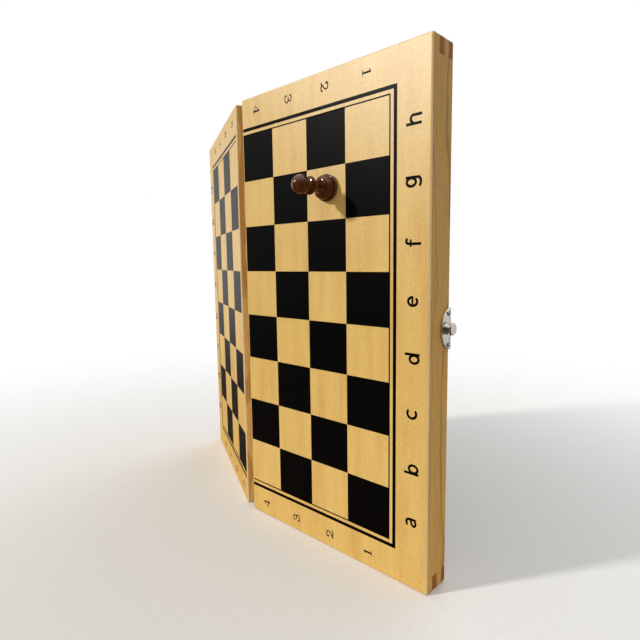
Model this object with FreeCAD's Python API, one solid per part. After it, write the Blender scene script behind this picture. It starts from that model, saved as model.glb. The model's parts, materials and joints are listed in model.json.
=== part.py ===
"""Folding wooden magnetic chess set: a box of two box-jointed halves with the
playing face outside, foam trays inside, a hinge, a hook latch and 32 pieces.

Half frame used for every board part, in millimetres: x runs from the hinge
wall to the latch wall, y from the playing face to the rim, z along the long
side.  The white half stays in this frame, shifted so that the origin is the
middle of its standing edge.  The black half is turned over onto it and then
swung open about the hinge.
"""
import FreeCAD
import Part
import math
import os

from FreeCAD import Vector

# ---- driving dimensions, mm ----
square = 30.0                 # one square of the board
ranks_per_half = 4
files = 8
end_border = 25.0             # from the last square to the latch wall
side_border = 23.5            # from the a and h files to the outside
half_depth = 19.5             # playing face to rim
rail_thickness = 9.0
edge_round = 1.3
finger_count = 4              # fingers of a box joint, over the rail's height

veneer_thickness = 0.6
steel_thickness = 0.4
core_thickness = 2.5
rebate_width = 5.0            # how far the core reaches over the rails
sheet_margin = 2.0            # the steel sheet stops this short of the core's edge

hinge_clearance = 0.4         # between the halves, closed and flat open
open_angle = 152.4            # from closed to the rest pose, degrees
hinge_offset = 55.0           # middle of each hinge from the end of the box
leaf_length = 24.0
leaf_width = 7.4
leaf_thickness = 0.9
knuckle_radius = 1.7
knuckle_gap = 0.15            # along the pin
pin_radius = 0.6
pin_clearance = 0.04          # radial
notch_clearance = 0.35        # round the knuckles
hinge_screw_spacing = 15.0
hinge_screw_inset = 4.6       # from the hinge wall

plate_length = 22.5           # half-oval latch plates
plate_depth = 9.5
plate_thickness = 1.0
plate_screw_spacing = 16.6
plate_screw_inset = 2.85      # from the rim
latch_axis_inset = 3.1        # knob and pivot axes from the rim
knob_foot_radius = 3.0
knob_neck_radius = 2.1
knob_head_radius = 3.4
knob_cap_radius = 3.05
knob_groove_radius = 2.75
knob_foot_height = 0.8
knob_neck_height = 1.4
knob_head_height = 0.6
knob_groove_height = 0.15
knob_cap_height = 0.35
hook_thickness = 0.8
hook_clearance = 0.3          # round the knob's neck and along the pivot
hook_wall = 1.5
hook_eye_radius = 2.9
hook_tab_length = 5.0
hook_tab_width = 3.0
hook_parked_angle = 95.0      # from latched to where it rests when open
pivot_radius = 1.2
pivot_clearance = 0.05        # radial
pivot_head_radius = 2.3
pivot_head_height = 0.9

screw_shank_radius = 0.85
screw_length = 6.5
screw_head_radius = 1.6
screw_head_height = 0.8
screw_hole_clearance = 0.15
drive_length = 2.3            # crossed recess of a screw head
drive_width = 0.45
drive_depth = 0.45

tray_thickness = 10.5
tray_clearance = 0.25         # to the rails
pocket_clearance = 0.4        # round a stored piece
pocket_floor = 1.0            # from the core to the widest base
officer_start = 4.0           # from the tray's hinge edge to the officers' bases
pawn_start = 80.0             # from the tray's hinge edge to the pawns' bases

pawn_height = 27.4
pawn_base_radius = 7.7
pawn_neck_radius = 4.1
pawn_waist_radius = 3.3
pawn_collar_radius = 5.15
pawn_head_radius = 5.3
rook_height = 33.0
rook_base_radius = 8.4
rook_neck_radius = 5.6
rook_waist_radius = 4.5
rook_top_radius = 6.3
rook_slot_width = 1.8
rook_slot_depth = 2.3
knight_height = 39.0
knight_base_radius = 8.4
knight_thickness = 9.0
knight_neck_radius = 6.2
knight_reach = 8.4            # from the axis to the nose, and a little over
bishop_height = 44.0
bishop_base_radius = 8.2
bishop_neck_radius = 4.6
bishop_waist_radius = 3.4
bishop_collar_radius = 5.9
bishop_slit_width = 0.9
queen_height = 53.0
queen_base_radius = 9.0
queen_neck_radius = 5.2
queen_waist_radius = 3.7
queen_collar_radius = 5.7
queen_crown_radius = 6.2
queen_notch_radius = 1.1
king_height = 59.0
king_base_radius = 9.2
king_neck_radius = 5.3
king_waist_radius = 3.8
king_collar_radius = 5.7
king_crown_radius = 6.1
king_cross_height = 5.6
king_cross_width = 4.6
king_cross_thickness = 1.8
king_cross_arm = 1.7
base_ring_height = 1.8
dome_height = 4.4             # of the domed foot above the base ring
bead_height = 0.9             # of the bead above the dome
bead_rise = 0.5               # how far it stands out from the neck
collar_height = 1.7
collar_bevel = 0.7
finial_radius = 1.7           # ball on the bishop and the queen
felt_thickness = 0.6
felt_inset = 0.5
magnet_radius = 3.0
magnet_height = 3.0
pawn_file_place = 6.60        # where the pawn stands, in squares from the a edge
pawn_rank_place = 2.57        # and in squares from the hinge
standing_gap = 0.05           # from the felt to the board

# ---- worked out from them ----
half_width = ranks_per_half * square + end_border
half_length = files * square + 2 * side_border
core_top = veneer_thickness + steel_thickness
floor_level = core_top + core_thickness
foot_height = base_ring_height + dome_height + bead_height
hinge_x = -hinge_clearance / 2
hinge_y = half_depth + hinge_clearance / 2
middle = half_length / 2

X = Vector(1, 0, 0)
Y = Vector(0, 1, 0)
Z = Vector(0, 0, 1)


def box(x0, x1, y0, y1, z0, z1):
    return Part.makeBox(x1 - x0, y1 - y0, z1 - z0, Vector(x0, y0, z0))


def rod(radius, start, end):
    """Cylinder between two points."""
    along = end - start
    return Part.makeCylinder(radius, along.Length, start, along)


def edges_along(shape, direction):
    """Straight edges of a shape that run along a direction."""
    found = []
    for edge in shape.Edges:
        if len(edge.Vertexes) != 2:
            continue
        run = edge.Vertexes[1].Point - edge.Vertexes[0].Point
        if abs(abs(run.dot(direction)) - run.Length) < 1e-6:
            found.append(edge)
    return found


def turned(outline):
    """Solid of revolution about z.  The outline starts on the axis; each step is
    (r, z) for a straight run, (r, z, r_mid, z_mid) for a parabola through a middle
    point, or (r, z, r_mid, z_mid, True) for a circle's arc through one."""
    here = Vector(0, 0, outline[0][1])
    edges = []
    for step in outline:
        there = Vector(step[0], 0, step[1])
        if (there - here).Length < 1e-9:
            continue
        if len(step) == 5:
            edges.append(Part.Arc(here, Vector(step[2], 0, step[3]), there).toShape())
        elif len(step) == 4:
            curve = Part.BezierCurve()
            pole = Vector(step[2], 0, step[3]) * 2 - (here + there) * 0.5
            curve.setPoles([here, pole, there])
            edges.append(curve.toShape())
        else:
            edges.append(Part.LineSegment(here, there).toShape())
        here = there
    start = Vector(0, 0, outline[0][1])
    edges.append(Part.LineSegment(here, start).toShape())
    return Part.Face(Part.Wire(edges)).revolve(Vector(0, 0, 0), Z, 360)


def ball(seat, radius, top):
    """Steps of a ball on the axis, from its seat's edge up to its top."""
    centre = top - radius
    return [
        (seat, centre - math.sqrt(radius ** 2 - seat ** 2)),
        (0, top, radius, centre, True),
    ]


# ---- placing ----
def on_white_half(shape):
    placed = shape.copy()
    placed.translate(Vector(-half_width / 2, -half_depth / 2, 0))
    return placed


def on_black_half(shape):
    placed = shape.copy()
    placed.rotate(Vector(0, hinge_y, middle), X, 180)
    placed.rotate(Vector(hinge_x, hinge_y, 0), Z, open_angle)
    return on_white_half(placed)


def end_for_end(shape):
    """Turned half a turn in the plane of the half."""
    placed = shape.copy()
    placed.rotate(Vector(half_width / 2, 0, middle), Y, 180)
    return placed


# ---- box ----
def envelope():
    block = box(0, half_width, 0, half_depth, 0, half_length)
    return block.makeFillet(edge_round, block.Edges)


def hinge_middles():
    return [hinge_offset, half_length - hinge_offset]


def finger_slots(kept):
    """The y spans of a box joint where this rail has a gap.  kept is 0 for the
    long rails, whose first finger is beside the playing face, and 1 for the
    cross rails."""
    step = (half_depth - veneer_thickness) / finger_count
    spans = []
    for i in range(finger_count):
        if i % 2 != kept:
            y0 = veneer_thickness + i * step
            spans.append((y0, y0 + step))
    return spans


def core_rebate():
    inset = rail_thickness - rebate_width
    return box(inset, half_width - inset, veneer_thickness, floor_level, inset,
               half_length - inset)


def hinge_cuts(extra_room):
    """Room in the hinge wall for the leaves and the knuckles."""
    cuts = []
    for z in hinge_middles():
        low = z - leaf_length / 2
        high = z + leaf_length / 2
        cuts.append(box(-1, leaf_width, half_depth - leaf_thickness, half_depth + 1, low, high))
        cuts.append(rod(knuckle_radius + extra_room, Vector(hinge_x, hinge_y, low - extra_room),
                        Vector(hinge_x, hinge_y, high + extra_room)))
    return cuts


def hinge_screw_places():
    x = hinge_screw_inset
    places = []
    for z in hinge_middles():
        for side in (-1, 1):
            places.append(Vector(x, half_depth, z + side * hinge_screw_spacing / 2))
    return places


def latch_screw_places():
    y = half_depth - plate_screw_inset
    places = []
    for side in (-1, 1):
        places.append(Vector(half_width + plate_thickness, y, middle + side * plate_screw_spacing / 2))
    return places


def cross_drive(top, outward):
    """The crossed recess of a screw head whose highest point is top."""
    across = outward.cross(Z)
    bars = []
    for along, wide in ((Z, across), (across, Z)):
        corner = top - outward * drive_depth - along * (drive_length / 2) - wide * (drive_width / 2)
        ring = [corner, corner + along * drive_length,
                corner + along * drive_length + wide * drive_width,
                corner + wide * drive_width, corner]
        bars.append(Part.Face(Part.makePolygon(ring)).extrude(outward * 2 * drive_depth))
    return bars


def round_head_screw(seat, inward):
    """Wood screw whose domed head stands on the seat."""
    outward = inward * -1
    rise = screw_head_height
    ball_radius = (screw_head_radius ** 2 + rise ** 2) / (2 * rise)
    dome = Part.makeSphere(ball_radius, seat + outward * (rise - ball_radius))
    head = dome.common(rod(screw_head_radius, seat, seat + outward * rise))
    head = head.cut(cross_drive(seat + outward * rise, outward))
    return head.fuse(rod(screw_shank_radius, seat, seat + inward * screw_length)).removeSplitter()


def countersink(surface, inward, room):
    """Cone of a flat screw head, its flat top level with the surface."""
    return Part.makeCone(screw_head_radius + room, screw_shank_radius + room, leaf_thickness,
                         surface, inward)


def flat_head_screw(surface, inward):
    """Wood screw whose countersunk head is level with the surface."""
    head = countersink(surface, inward, 0).cut(cross_drive(surface, inward * -1))
    start = surface + inward * leaf_thickness
    return head.fuse(rod(screw_shank_radius, start, surface + inward * screw_length)).removeSplitter()


def screw_pilots():
    pilots = []
    for place in hinge_screw_places():
        pilots.append(rod(screw_shank_radius, place + Y, place - Y * screw_length))
    for place in latch_screw_places():
        pilots.append(rod(screw_shank_radius, place, place - X * screw_length))
    return pilots


def rail(along_z, at_start):
    """One of the four rails.  at_start picks the hinge wall or the foot end."""
    if along_z:
        x0 = 0 if at_start else half_width - rail_thickness
        body = box(x0, x0 + rail_thickness, veneer_thickness, half_depth, 0, half_length)
    else:
        z0 = 0 if at_start else half_length - rail_thickness
        body = box(0, half_width, veneer_thickness, half_depth, z0, z0 + rail_thickness)
    gaps = []
    for y0, y1 in finger_slots(0 if along_z else 1):
        for start in (0, 1):
            if along_z:
                z0 = 0 if start else half_length - rail_thickness
                gaps.append(box(-1, half_width + 1, y0, y1, z0, z0 + rail_thickness))
            else:
                x0 = 0 if start else half_width - rail_thickness
                gaps.append(box(x0, x0 + rail_thickness, y0, y1, -1, half_length + 1))
    gaps.append(core_rebate())
    if along_z:
        gaps += screw_pilots()
        if at_start:
            gaps += hinge_cuts(notch_clearance)
    return body.cut(gaps).common(envelope())


def playing_face():
    return box(0, half_width, 0, veneer_thickness, 0, half_length).common(envelope())


def core():
    inset = rail_thickness - rebate_width
    return box(inset, half_width - inset, core_top, floor_level, inset, half_length - inset)


def steel_sheet():
    inset = rail_thickness - rebate_width + sheet_margin
    return box(inset, half_width - inset, veneer_thickness, core_top, inset, half_length - inset)


# ---- hinges ----
def leaves(outer_knuckles):
    """Both hinges' leaves of one half: two knuckles at the ends, or one between."""
    share = leaf_length / 3
    made = []
    for z in hinge_middles():
        low = z - leaf_length / 2
        plate = box(0, leaf_width, half_depth - leaf_thickness, half_depth, low, low + leaf_length)
        for i in range(3):
            mine = (i != 1) == outer_knuckles
            z0 = low + i * share
            if mine:
                z0 += knuckle_gap / 2 if i else 0
                z1 = low + (i + 1) * share - (knuckle_gap / 2 if i < 2 else 0)
                plate = plate.fuse(rod(knuckle_radius, Vector(hinge_x, hinge_y, z0),
                                       Vector(hinge_x, hinge_y, z1)))
            else:
                room = knuckle_radius + notch_clearance
                plate = plate.cut(rod(room, Vector(hinge_x, hinge_y, z0 - knuckle_gap / 2),
                                      Vector(hinge_x, hinge_y, z0 + share + knuckle_gap / 2)))
        bore = pin_radius + pin_clearance
        plate = plate.cut(rod(bore, Vector(hinge_x, hinge_y, low - 1),
                              Vector(hinge_x, hinge_y, low + leaf_length + 1)))
        for place in hinge_screw_places():
            if abs(place.z - z) < leaf_length / 2:
                plate = plate.cut(countersink(place, Y * -1, screw_hole_clearance))
        made.append(plate.removeSplitter())
    return Part.makeCompound(made)


def hinge_pins():
    made = []
    for z in hinge_middles():
        reach = leaf_length / 2
        low = Vector(hinge_x, hinge_y, z - reach)
        high = Vector(hinge_x, hinge_y, z + reach)
        made.append(rod(pin_radius, low, high))
    return Part.makeCompound(made)


# ---- latch ----
def latch_axis_point(height):
    return Vector(half_width + height, half_depth - latch_axis_inset, middle)


def latch_plate(hole_radius):
    """Half-oval plate on the latch wall, its straight edge level with the rim."""
    oval = Part.Ellipse(Vector(0, 0, 0), plate_length / 2, plate_depth)
    disc = Part.Face(Part.Wire(oval.toShape())).extrude(Vector(0, 0, plate_thickness))
    disc.rotate(Vector(0, 0, 0), Z, 90)
    disc.rotate(Vector(0, 0, 0), Y, 90)
    disc.rotate(Vector(0, 0, 0), X, 90)
    disc.translate(Vector(half_width, half_depth, middle))
    plate = disc.common(box(half_width, half_width + plate_thickness, 0, half_depth, 0, half_length))
    plate = plate.cut(rod(hole_radius, latch_axis_point(0), latch_axis_point(plate_thickness)))
    for place in latch_screw_places():
        hole = screw_shank_radius + screw_hole_clearance
        plate = plate.cut(rod(hole, place, place - X * plate_thickness))
    return plate


def catch_knob():
    """Stepped knob riveted through its plate."""
    steps = [
        (knob_foot_radius, knob_foot_height),
        (knob_neck_radius, knob_neck_height),
        (knob_head_radius, knob_head_height),
        (knob_groove_radius, knob_groove_height),
        (knob_cap_radius, knob_cap_height),
    ]
    at = plate_thickness
    knob = rod(knob_neck_radius, latch_axis_point(0), latch_axis_point(at))
    for radius, height in steps:
        knob = knob.fuse(rod(radius, latch_axis_point(at), latch_axis_point(at + height)))
        at += height
    return knob.removeSplitter()


def hook_level():
    return plate_thickness + knob_foot_height + hook_clearance


def hook_pivot():
    """Rivet that the hook turns on."""
    foot = hook_level() - hook_clearance
    top = hook_level() + hook_thickness + hook_clearance
    rivet = rod(pivot_radius, latch_axis_point(0), latch_axis_point(top))
    rivet = rivet.fuse(rod(pivot_head_radius, latch_axis_point(plate_thickness), latch_axis_point(foot)))
    rivet = rivet.fuse(rod(pivot_head_radius, latch_axis_point(top),
                           latch_axis_point(top + pivot_head_height)))
    return rivet.removeSplitter()


def latch_hook():
    """Flat hook round the pivot, made in the latched place and turned to park.
    Its slot is an arc about the pivot, so that it swings onto the knob's neck."""
    reach = 2 * latch_axis_inset + hinge_clearance
    slot = knob_neck_radius + hook_clearance
    outer = slot + hook_wall
    up = Vector(0, 0, hook_thickness)
    origin = Vector(0, 0, 0)
    blank = Part.makeCylinder(hook_eye_radius, hook_thickness)
    blank = blank.fuse(Part.makeCylinder(outer, hook_thickness, Vector(0, reach, 0)))
    back = Part.makeBox(hook_eye_radius, reach, hook_thickness, Vector(-hook_eye_radius, 0, 0))
    blank = blank.fuse(back)
    tab = Part.makeBox(hook_tab_length, hook_tab_width, hook_thickness,
                       Vector(-outer - hook_tab_length + 1, reach - hook_tab_width / 2, 0))
    tab = tab.makeFillet(0.45 * hook_tab_width, [edges_along(tab, Z)[i] for i in (0, 1)])
    blank = blank.fuse(tab)
    ring = Part.makeCylinder(reach + slot, hook_thickness)
    ring = ring.cut(Part.makeCylinder(reach - slot, hook_thickness))
    mouth = ring.common(Part.makeBox(reach * 3, reach * 3, hook_thickness, Vector(0, 0, 0)))
    mouth = mouth.fuse(Part.makeCylinder(slot, hook_thickness, Vector(0, reach, 0)))
    hook = blank.cut(mouth)
    hook = hook.cut(Part.makeCylinder(pivot_radius + pivot_clearance, hook_thickness))
    hook = hook.removeSplitter()
    hook.rotate(origin, Z, -hook_parked_angle)
    hook.rotate(origin, X, 90)
    hook.rotate(origin, Z, 90)
    hook.rotate(origin, X, -90)
    hook.translate(latch_axis_point(hook_level()))
    return hook


# ---- chess pieces, standing on z = 0 ----
def foot(base_radius, neck_radius, lift):
    """Outline of the foot shared by every piece: base ring, dome and a beaded neck."""
    ring = base_ring_height
    dome = 0.91 * base_radius
    top = ring + dome_height
    return [
        (0, lift),
        (base_radius - 0.3, lift),
        (base_radius, lift + 0.3),
        (base_radius, ring - 0.5),
        (base_radius - 0.5, ring),
        (dome - 0.3, ring + 0.2),
        (neck_radius + 0.2, top, 0.93 * dome, ring + 0.62 * dome_height),
        (neck_radius + bead_rise, top + 0.3 * bead_height),
        (neck_radius + bead_rise, top + 0.7 * bead_height),
        (neck_radius, top + bead_height),
    ]


def stem(neck_radius, waist_radius, start, end, collar_radius):
    """Outline of a hollow-curved stem and the collar on its top."""
    rise = end - start
    return [
        (waist_radius + 0.3, end, waist_radius, start + 0.55 * rise),
        (collar_radius - collar_bevel, end),
        (collar_radius, end + collar_bevel),
        (collar_radius, end + collar_height - collar_bevel),
        (collar_radius - collar_bevel, end + collar_height),
    ]


def pawn(lift=0.0):
    collar = pawn_height - 2 * pawn_head_radius - 2.9
    outline = foot(pawn_base_radius, pawn_neck_radius, lift)
    outline += stem(pawn_neck_radius, pawn_waist_radius, foot_height, collar, pawn_collar_radius)
    outline.append((3.0, collar + 2.0))
    outline += ball(2.5, pawn_head_radius, pawn_height)
    return turned(outline)


def rook():
    top = rook_height
    collar = top - 11.6
    outline = foot(rook_base_radius, rook_neck_radius, 0)
    outline += stem(rook_neck_radius, rook_waist_radius, foot_height, collar, rook_top_radius)
    outline.append((4.9, collar + 2.2))
    outline.append((rook_top_radius - 0.2, collar + 4.6, 5.2, collar + 3.6))
    outline.append((rook_top_radius, top - 0.3))
    outline.append((rook_top_radius - 0.3, top))
    outline.append((4.2, top))
    outline.append((4.2, top - 2.6))
    outline.append((0, top - 2.6))
    body = turned(outline)
    for i in range(3):
        slot = Part.makeBox(2 * rook_base_radius, rook_slot_width, 2 * rook_slot_depth,
                            Vector(-rook_base_radius, -rook_slot_width / 2, top - rook_slot_depth))
        slot.rotate(Vector(0, 0, 0), Z, 60 * i)
        body = body.cut(slot)
    return body


def bishop():
    collar = bishop_height - 19.4
    outline = foot(bishop_base_radius, bishop_neck_radius, 0)
    outline += stem(bishop_neck_radius, bishop_waist_radius, foot_height, collar, bishop_collar_radius)
    outline.append((3.2, collar + 2.2))
    outline.append((4.4, collar + 3.3))
    outline.append((3.4, collar + 4.2))
    outline.append((5.1, collar + 8.6, 4.7, collar + 6.0))
    outline.append((1.1, bishop_height - 2.9, 4.1, collar + 13.0))
    outline += ball(1.1, finial_radius, bishop_height)
    body = turned(outline)
    slit = Part.makeBox(9, 12, bishop_slit_width, Vector(-0.6, -6, 0))
    slit.rotate(Vector(0, 0, 0), Y, -52)
    slit.translate(Vector(0.3, 0, collar + 9.2))
    return body.cut(slit)


def queen():
    collar = queen_height - 19.0
    outline = foot(queen_base_radius, queen_neck_radius, 0)
    outline += stem(queen_neck_radius, queen_waist_radius, foot_height, collar, queen_collar_radius)
    outline.append((3.9, collar + 2.1))
    outline.append((5.0, collar + 3.2))
    outline.append((3.5, collar + 4.4))
    rim = queen_height - 4.4
    outline.append((queen_crown_radius, rim, 4.1, rim - 5.2))
    outline.append((queen_crown_radius - 1.1, rim + 0.2))
    outline.append((1.3, rim + 1.4))
    outline += ball(1.3, finial_radius, queen_height)
    body = turned(outline)
    for i in range(8):
        notch = Part.makeCylinder(queen_notch_radius, 3.0, Vector(4.4, 0, rim + 0.3), X)
        notch.rotate(Vector(0, 0, 0), Z, 45 * i)
        body = body.cut(notch)
    return body


def king():
    collar = king_height - 22.5
    outline = foot(king_base_radius, king_neck_radius, 0)
    outline += stem(king_neck_radius, king_waist_radius, foot_height, collar, king_collar_radius)
    outline.append((4.0, collar + 2.1))
    outline.append((5.1, collar + 3.2))
    outline.append((3.7, collar + 4.4))
    rim = king_height - king_cross_height - 3.0
    outline.append((king_crown_radius, rim, 4.2, rim - 5.0))
    outline.append((king_crown_radius - 0.5, rim + 0.7))
    outline.append((1.6, rim + 2.6, 4.4, rim + 1.9))
    outline.append((1.3, rim + 3.2))
    outline.append((0, rim + 3.2))
    body = turned(outline)
    low = king_height - king_cross_height
    half_thick = king_cross_thickness / 2
    post = box(-king_cross_arm / 2, king_cross_arm / 2, -half_thick, half_thick, low, king_height)
    bar = box(-king_cross_width / 2, king_cross_width / 2, -half_thick, half_thick, low + 2.2,
              low + 2.2 + king_cross_arm)
    return body.fuse(post.fuse(bar)).removeSplitter()


def knight():
    """Turned foot with a flat-sided horse's head that looks along +x."""
    low = foot_height
    outline = foot(knight_base_radius, knight_neck_radius, 0)
    outline.append((5.6, low + 1.2, 5.7, low + 0.5))
    outline.append((0, low + 1.2))
    body = turned(outline)
    top = knight_height
    chest = Vector(5.0, 0, low)
    throat = Vector(2.4, 0, top - 17.0)
    jaw = Vector(2.8, 0, top - 12.4)
    chin = Vector(6.6, 0, top - 13.2)
    nose = Vector(8.3, 0, top - 10.0)
    brow = Vector(2.6, 0, top - 3.6)
    ear = Vector(1.1, 0, top)
    poll = Vector(-1.2, 0, top - 2.8)
    mane = Vector(-6.6, 0, top - 14.5)
    back = Vector(-5.2, 0, low)
    edges = [
        Part.Arc(chest, Vector(4.2, 0, top - 21.5), throat).toShape(),
        Part.LineSegment(throat, jaw).toShape(),
        Part.LineSegment(jaw, chin).toShape(),
        Part.Arc(chin, Vector(8.2, 0, top - 12.2), nose).toShape(),
        Part.Arc(nose, Vector(5.2, 0, top - 6.4), brow).toShape(),
        Part.LineSegment(brow, ear).toShape(),
        Part.LineSegment(ear, poll).toShape(),
        Part.Arc(poll, Vector(-5.4, 0, top - 7.2), mane).toShape(),
        Part.Arc(mane, Vector(-6.3, 0, top - 21.5), back).toShape(),
        Part.LineSegment(back, chest).toShape(),
    ]
    head = Part.Face(Part.Wire(edges)).extrude(Vector(0, knight_thickness, 0))
    head.translate(Vector(0, -knight_thickness / 2, 0))
    return body.fuse(head).removeSplitter()


# name, maker, base radius, height, and above the dome half the width and depth
rook_row = (rook, rook_base_radius, rook_height, rook_top_radius, rook_top_radius)
knight_row = (knight, knight_base_radius, knight_height, knight_reach, knight_neck_radius + bead_rise)
bishop_row = (bishop, bishop_base_radius, bishop_height, bishop_collar_radius, bishop_collar_radius)
queen_row = (queen, queen_base_radius, queen_height, queen_crown_radius, queen_crown_radius)
king_row = (king, king_base_radius, king_height, king_crown_radius, king_crown_radius)
officers = [
    ("rook_1", *rook_row),
    ("knight_1", *knight_row),
    ("bishop_1", *bishop_row),
    ("queen", *queen_row),
    ("king", *king_row),
    ("bishop_2", *bishop_row),
    ("knight_2", *knight_row),
    ("rook_2", *rook_row),
]


def column_z(column):
    """Middle of one of the tray's eight columns of pockets."""
    inside = half_length - 2 * rail_thickness
    return rail_thickness + (column + 0.5) * inside / files


def lie_down(piece, base_radius, start, column):
    """A standing piece laid in its pocket, base towards the hinge."""
    placed = piece.copy()
    placed.rotate(Vector(0, 0, 0), Y, 90)
    placed.translate(Vector(rail_thickness + start, floor_level + pocket_floor + base_radius,
                            column_z(column)))
    return placed


def pocket(base_radius, height, half_body, half_thick, start, column):
    """Stepped pocket: deep for the base and the dome, shallower for the body."""
    c = pocket_clearance
    x0 = rail_thickness + start - c
    step = rail_thickness + start + foot_height + c
    x1 = rail_thickness + start + height + c
    z = column_z(column)
    axis = floor_level + pocket_floor + base_radius
    top = half_depth
    wide = base_radius + c
    narrow = half_body + c
    deep = box(x0, step, axis - wide, top, z - wide, z + wide)
    floor = axis - half_thick - c
    return deep.fuse(box(x0, x1, floor, top, z - narrow, z + narrow))


def tray():
    low = rail_thickness + tray_clearance
    slab = box(low, half_width - low, floor_level, floor_level + tray_thickness, low,
               half_length - low)
    pockets = []
    for column, officer in enumerate(officers):
        pockets.append(pocket(*officer[2:], officer_start, column))
        pockets.append(pocket(pawn_base_radius, pawn_height, pawn_head_radius, pawn_head_radius,
                              pawn_start, column))
    return slab.cut(pockets)


def pawn_on_board(piece):
    """Stood on the white half's playing face, its head away from the board."""
    placed = piece.copy()
    placed.rotate(Vector(0, 0, 0), X, 90)
    placed.translate(Vector(pawn_rank_place * square, -standing_gap,
                            side_border + pawn_file_place * square))
    return placed


def screws():
    """The screws of a half's hinge leaves and of its latch plate."""
    made = [flat_head_screw(place, Y * -1) for place in hinge_screw_places()]
    made += [round_head_screw(place, X * -1) for place in latch_screw_places()]
    return Part.makeCompound(made)


def white_parts():
    nodes = {}
    nodes["white_hinge_rail"] = rail(True, True)
    nodes["white_latch_rail"] = rail(True, False)
    nodes["white_a_end_rail"] = rail(False, True)
    nodes["white_h_end_rail"] = rail(False, False)
    nodes["white_playing_face"] = playing_face()
    nodes["white_steel_sheet"] = steel_sheet()
    nodes["white_core"] = core()
    nodes["white_tray"] = tray()
    nodes["white_hinge_leaves"] = leaves(True)
    nodes["hinge_pins"] = hinge_pins()
    nodes["catch_plate"] = latch_plate(knob_neck_radius)
    nodes["catch_knob"] = catch_knob()
    nodes["white_screws"] = screws()
    for column, officer in enumerate(officers):
        name, maker, base_radius = officer[:3]
        nodes["white_" + name] = lie_down(maker(), base_radius, officer_start, column)
        nodes["white_pawn_%d" % (column + 1)] = lie_down(pawn(), pawn_base_radius, pawn_start, column)
    body = pawn(felt_thickness)
    slug = rod(magnet_radius, Vector(0, 0, felt_thickness),
               Vector(0, 0, felt_thickness + magnet_height))
    pad = rod(pawn_base_radius - felt_inset, Vector(0, 0, 0), Vector(0, 0, felt_thickness))
    nodes["board_pawn"] = pawn_on_board(body.cut(slug))
    nodes["board_pawn_magnet"] = pawn_on_board(slug)
    nodes["board_pawn_felt"] = pawn_on_board(pad)
    return nodes


def black_parts():
    nodes = {}
    nodes["black_hinge_rail"] = rail(True, True)
    nodes["black_latch_rail"] = rail(True, False)
    nodes["black_h_end_rail"] = rail(False, True)
    nodes["black_a_end_rail"] = rail(False, False)
    nodes["black_playing_face"] = playing_face()
    nodes["black_steel_sheet"] = steel_sheet()
    nodes["black_core"] = core()
    nodes["black_tray"] = end_for_end(tray())
    nodes["black_hinge_leaves"] = leaves(False)
    nodes["hook_plate"] = latch_plate(pivot_radius)
    nodes["hook_pivot"] = hook_pivot()
    nodes["latch_hook"] = latch_hook()
    nodes["black_screws"] = screws()
    for column, officer in enumerate(officers):
        name, maker, base_radius = officer[:3]
        laid = lie_down(maker(), base_radius, officer_start, column)
        nodes["dark_" + name] = end_for_end(laid)
        if column < files - 1:
            laid = lie_down(pawn(), pawn_base_radius, pawn_start, column)
            nodes["dark_pawn_%d" % (column + 1)] = end_for_end(laid)
    return nodes


os.makedirs("parts", exist_ok=True)
for name, shape in white_parts().items():
    on_white_half(shape).exportStep("parts/%s.step" % name)
for name, shape in black_parts().items():
    on_black_half(shape).exportStep("parts/%s.step" % name)
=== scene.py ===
"""Folding wooden magnetic chess set, stood on its side and half open: the looks.

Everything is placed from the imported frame.  A "half frame" is the frame that both
halves of the box share: x from the hinge wall to the latch wall, y from the playing
face to the rim, z along the long side.  Board places are (u, v): u from the hinge
edge, v up from the a-file end, both along the playing face.
"""
import bmesh
import bpy
import json
import math
from mathutils import Matrix, Vector
from mathutils.geometry import delaunay_2d_cdt


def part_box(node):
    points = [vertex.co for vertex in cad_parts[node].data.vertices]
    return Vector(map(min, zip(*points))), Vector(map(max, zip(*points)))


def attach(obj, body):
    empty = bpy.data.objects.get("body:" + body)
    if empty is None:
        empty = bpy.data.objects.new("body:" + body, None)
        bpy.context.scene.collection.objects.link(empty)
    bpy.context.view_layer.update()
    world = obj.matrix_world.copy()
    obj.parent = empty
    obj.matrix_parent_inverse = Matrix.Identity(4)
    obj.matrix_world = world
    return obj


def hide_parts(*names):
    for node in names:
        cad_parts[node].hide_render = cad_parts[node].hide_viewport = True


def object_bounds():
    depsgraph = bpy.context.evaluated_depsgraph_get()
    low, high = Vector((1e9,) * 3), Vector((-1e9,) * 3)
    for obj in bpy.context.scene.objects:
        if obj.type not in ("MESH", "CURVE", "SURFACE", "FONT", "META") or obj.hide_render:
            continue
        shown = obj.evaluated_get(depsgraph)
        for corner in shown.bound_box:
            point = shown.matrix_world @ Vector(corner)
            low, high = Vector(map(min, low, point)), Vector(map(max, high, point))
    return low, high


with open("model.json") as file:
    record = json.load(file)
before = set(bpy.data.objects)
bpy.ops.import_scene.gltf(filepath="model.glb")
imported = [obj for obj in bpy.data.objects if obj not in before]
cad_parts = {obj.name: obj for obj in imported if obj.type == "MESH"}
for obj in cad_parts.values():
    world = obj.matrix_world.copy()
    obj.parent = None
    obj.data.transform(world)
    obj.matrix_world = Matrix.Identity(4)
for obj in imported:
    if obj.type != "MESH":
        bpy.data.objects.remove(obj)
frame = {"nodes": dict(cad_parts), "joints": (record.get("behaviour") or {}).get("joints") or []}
cad_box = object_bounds()

MM = 0.001
NODES = frame["nodes"]
JOINTS = {joint["name"]: joint for joint in frame["joints"]}

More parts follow.
